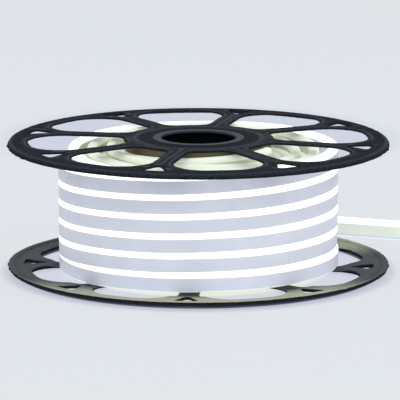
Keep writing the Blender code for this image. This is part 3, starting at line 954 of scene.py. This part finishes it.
    place = tree.nodes.new("ShaderNodeCombineXYZ")
    link(calc("MULTIPLY", radius, calc("COSINE", angle)), place.inputs["X"])
    link(calc("MULTIPLY", radius, calc("SINE", angle)), place.inputs["Y"])
    link(height, place.inputs["Z"])
    laid = tree.nodes.new("GeometryNodeSetPosition")
    link(dots.outputs["Curve"], laid.inputs["Geometry"])
    link(place.outputs["Vector"], laid.inputs["Position"])
    upright = tree.nodes.new("GeometryNodeSetCurveNormal")
    upright.mode = "Z_UP"
    link(laid.outputs["Geometry"], upright.inputs["Curve"])

    def sweep(section, lit):
        shape = tree.nodes.new("GeometryNodeObjectInfo")
        link(given[section], shape.inputs["Object"])
        here = tree.nodes.new("GeometryNodeInputPosition")
        split = tree.nodes.new("ShaderNodeSeparateXYZ")
        link(here.outputs["Position"], split.inputs["Vector"])
        noted = tree.nodes.new("GeometryNodeStoreNamedAttribute")
        noted.data_type = "FLOAT"
        noted.domain = "POINT"
        noted.inputs["Name"].default_value = "section_height"
        link(shape.outputs["Geometry"], noted.inputs["Geometry"])
        link(calc("MULTIPLY", split.outputs["Y"], -1.0), noted.inputs["Value"])
        swept = tree.nodes.new("GeometryNodeCurveToMesh")
        link(upright.outputs["Curve"], swept.inputs["Curve"])
        link(noted.outputs["Geometry"], swept.inputs["Profile Curve"])
        marked = tree.nodes.new("GeometryNodeStoreNamedAttribute")
        marked.data_type = "BOOLEAN"
        marked.domain = "FACE"
        marked.inputs["Name"].default_value = "lit"
        marked.inputs["Value"].default_value = lit
        link(swept.outputs["Mesh"], marked.inputs["Geometry"])
        return marked.outputs["Geometry"]

    both = tree.nodes.new("GeometryNodeJoinGeometry")
    link(sweep("Channel section", False), both.inputs["Geometry"])
    link(sweep("Diffuser section", True), both.inputs["Geometry"])
    merged = tree.nodes.new("GeometryNodeMergeByDistance")
    merged.inputs["Distance"].default_value = MERGE_DISTANCE
    link(both.outputs["Geometry"], merged.inputs["Geometry"])
    real = tree.nodes.new("GeometryNodeRealizeInstances")
    link(merged.outputs["Geometry"], real.inputs["Geometry"])
    channel = tree.nodes.new("GeometryNodeSetMaterial")
    link(real.outputs["Geometry"], channel.inputs["Geometry"])
    link(given["Channel material"], channel.inputs["Material"])
    is_lit = tree.nodes.new("GeometryNodeInputNamedAttribute")
    is_lit.data_type = "BOOLEAN"
    is_lit.inputs["Name"].default_value = "lit"
    diffuser = tree.nodes.new("GeometryNodeSetMaterial")
    link(channel.outputs["Geometry"], diffuser.inputs["Geometry"])
    link(is_lit.outputs["Attribute"], diffuser.inputs["Selection"])
    link(given["Diffuser material"], diffuser.inputs["Material"])
    result = tree.nodes.new("NodeGroupOutput")
    link(diffuser.outputs["Geometry"], result.inputs["Mesh"])
    return tree, {name: socket.identifier for name, socket in sockets.items()}


def wound_layer(tree, keys, values):
    """One layer of the winding as a plain mesh, its two ends still open."""
    carrier = bpy.data.objects.new("layer", bpy.data.meshes.new("layer"))
    scene.collection.objects.link(carrier)
    nodes = carrier.modifiers.new("wound", "NODES")
    nodes.node_group = tree
    for name, value in values.items():
        nodes[keys[name]] = value
    depsgraph = bpy.context.evaluated_depsgraph_get()
    mesh = bpy.data.meshes.new_from_object(carrier.evaluated_get(depsgraph))
    bpy.data.objects.remove(carrier)
    return mesh


tree, keys = winding_tree()
channel_curve = section_object("channel_section", channel_section())
diffuser_curve = section_object("diffuser_section", diffuser_section())
layers = []
angle, height = START_ANGLE, OUTER_START_HEIGHT
for number, (turns, end_height, sines, cosines) in enumerate(LAYERS):
    inward = len(LAYERS) - 1 - number
    values = {
        "Turns": turns,
        "Radius": WINDING_INNER_RADIUS + (inward + 0.5) * FLEX_WIDTH,
        "Start angle": angle,
        "Start height": height,
        "End height": end_height,
        "Lowest": LOWEST_OUTER if number == 0 else 0.0,
        "Sine at start": sines[0],
        "Sine at end": sines[1],
        "Cosine at start": cosines[0],
        "Cosine at end": cosines[1],
        "Flare at start": FLARE if number == 0 else 0.0,
        "Step at end": FLEX_WIDTH if inward else 0.0,
        "Seed": SEED_STEP * number,
        "Waver outward": WAVER_RADIUS if number else OUTER_WAVER_RADIUS,
        "Lift at end": 0.0 if number else OUTER_END_LIFT,
        "Channel section": channel_curve,
        "Diffuser section": diffuser_curve,
        "Channel material": glow_tinted_inner_channel if number else channel_material,
        "Diffuser material": (outer_diffuser, shaded_second_diffuser, shaded_inner_diffuser)[min(number, 2)],
    }
    layers.append(wound_layer(tree, keys, values))
    angle += math.tau * turns
    height = end_height + values["Lift at end"]

for old in (channel_curve, diffuser_curve):
    bpy.data.objects.remove(old)
for number, mesh in enumerate(layers):
    inward = len(LAYERS) - 1 - number
    piece = bpy.data.objects.new(f"flex_layer_{inward + 1}", mesh)
    scene.collection.objects.link(piece)
    bm = bmesh.new()
    bm.from_mesh(mesh)
    rims = [edge for edge in bm.edges if edge.is_boundary]
    bmesh.ops.holes_fill(bm, edges=rims)
    bmesh.ops.recalc_face_normals(bm, faces=bm.faces)
    bm.to_mesh(mesh)
    bm.free()
    mesh.shade_smooth()
    mesh.set_sharp_from_angle(angle=SHARP_ANGLE)
    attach(piece, "root")
    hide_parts("neon_flex_winding" if inward else "neon_flex_inner_layer")

# The studio: a pale seamless floor, painted darker where the reel shades it and painted
# paler where the flex shines on it, soft lights overhead and in front, a fill at each side,
# and a pale, even sky.
FLOOR_SIZE = 12.0
FLOOR_DROP = 0.0002
FLOOR_GLOW = 0.8
SKY_COLOUR = (0.97, 0.985, 1.0, 1.0)
SKY_STRENGTH = 0.85
floor_finish = Finish("pale_floor", linear(100, 103, 104), 0.95, 0.0)
floor_colour = linear(228.5, 232.7, 237.3)
# Painted shadows and glow on the floor, each round: the middle, the span over which each fades, and
# its colour
PAINTED_FLOOR_SHADES = (
    # Painted: shade round the rim, a dark contact shadow under it, shade under the reel, a glow by
    # the winding, a shadow behind
    ((0.0, 0.0), (0.1595, 0.171), (206, 210, 224)),
    ((0.0, 0.0), (0.1505, 0.1540), (72, 76, 90)),
    ((0.0, 0.0), (0.1420, 0.1450), (216, 220, 233)),
    ((0.0, 0.0), (0.101, 0.112), (240, 247, 232)),
    ((0.0, 0.624), (0.160, 0.215), (206, 212, 228)),
)
for middle, fade, shade in PAINTED_FLOOR_SHADES:
    clear = floor_finish.ramp(floor_finish.distance((*middle, 0.0)), fade)
    floor_colour = floor_finish.blend(clear, linear(*shade), floor_colour)
floor_finish.set("Emission Color", floor_colour)
floor_finish.set("Emission Strength", FLOOR_GLOW)
floor_mesh = bpy.data.meshes.new("studio_floor")
reach = FLOOR_SIZE / 2
floor_mesh.from_pydata(
    [(-reach, -reach, 0), (reach, -reach, 0), (reach, reach, 0), (-reach, reach, 0)],
    [],
    [(0, 1, 2, 3)],
)
floor_mesh.materials.append(floor_finish.made)
floor = bpy.data.objects.new("studio_floor", floor_mesh)
floor.location.z = -FLOOR_DROP
scene.collection.objects.link(floor)

world = bpy.data.worlds.new("studio")
scene.world = world
world.use_nodes = True
sky = world.node_tree.nodes["Background"]
sky.inputs["Color"].default_value = SKY_COLOUR
sky.inputs["Strength"].default_value = SKY_STRENGTH


def soft_light(name, place, aim, size, power, colour):
    """A square soft light at a place, turned toward a point."""
    lamp = bpy.data.lights.new(name, "AREA")
    lamp.shape = "SQUARE"
    lamp.size = size
    lamp.energy = power
    lamp.color = colour
    made = bpy.data.objects.new(name, lamp)
    made.location = place
    made.rotation_euler = (Vector(aim) - Vector(place)).to_track_quat("-Z", "Y").to_euler()
    scene.collection.objects.link(made)


soft_light("overhead_light", (0.0, -0.3, 2.6), (0, 0, 0), 3.0, 14.0, (1.0, 1.0, 1.0))
soft_light("front_light", (-0.3, -3.2, 1.8), (0, 0, 0.05), 2.0, 18.0, (1.0, 1.0, 1.0))
soft_light("right_fill", (2.2, -1.5, 0.6), (0, 0, 0.05), 1.0, 11.0, (1.0, 0.99, 0.96))
soft_light("left_fill", (-2.2, -1.5, 0.6), (0, 0, 0.05), 1.0, 4.0, (1.0, 1.0, 1.0))
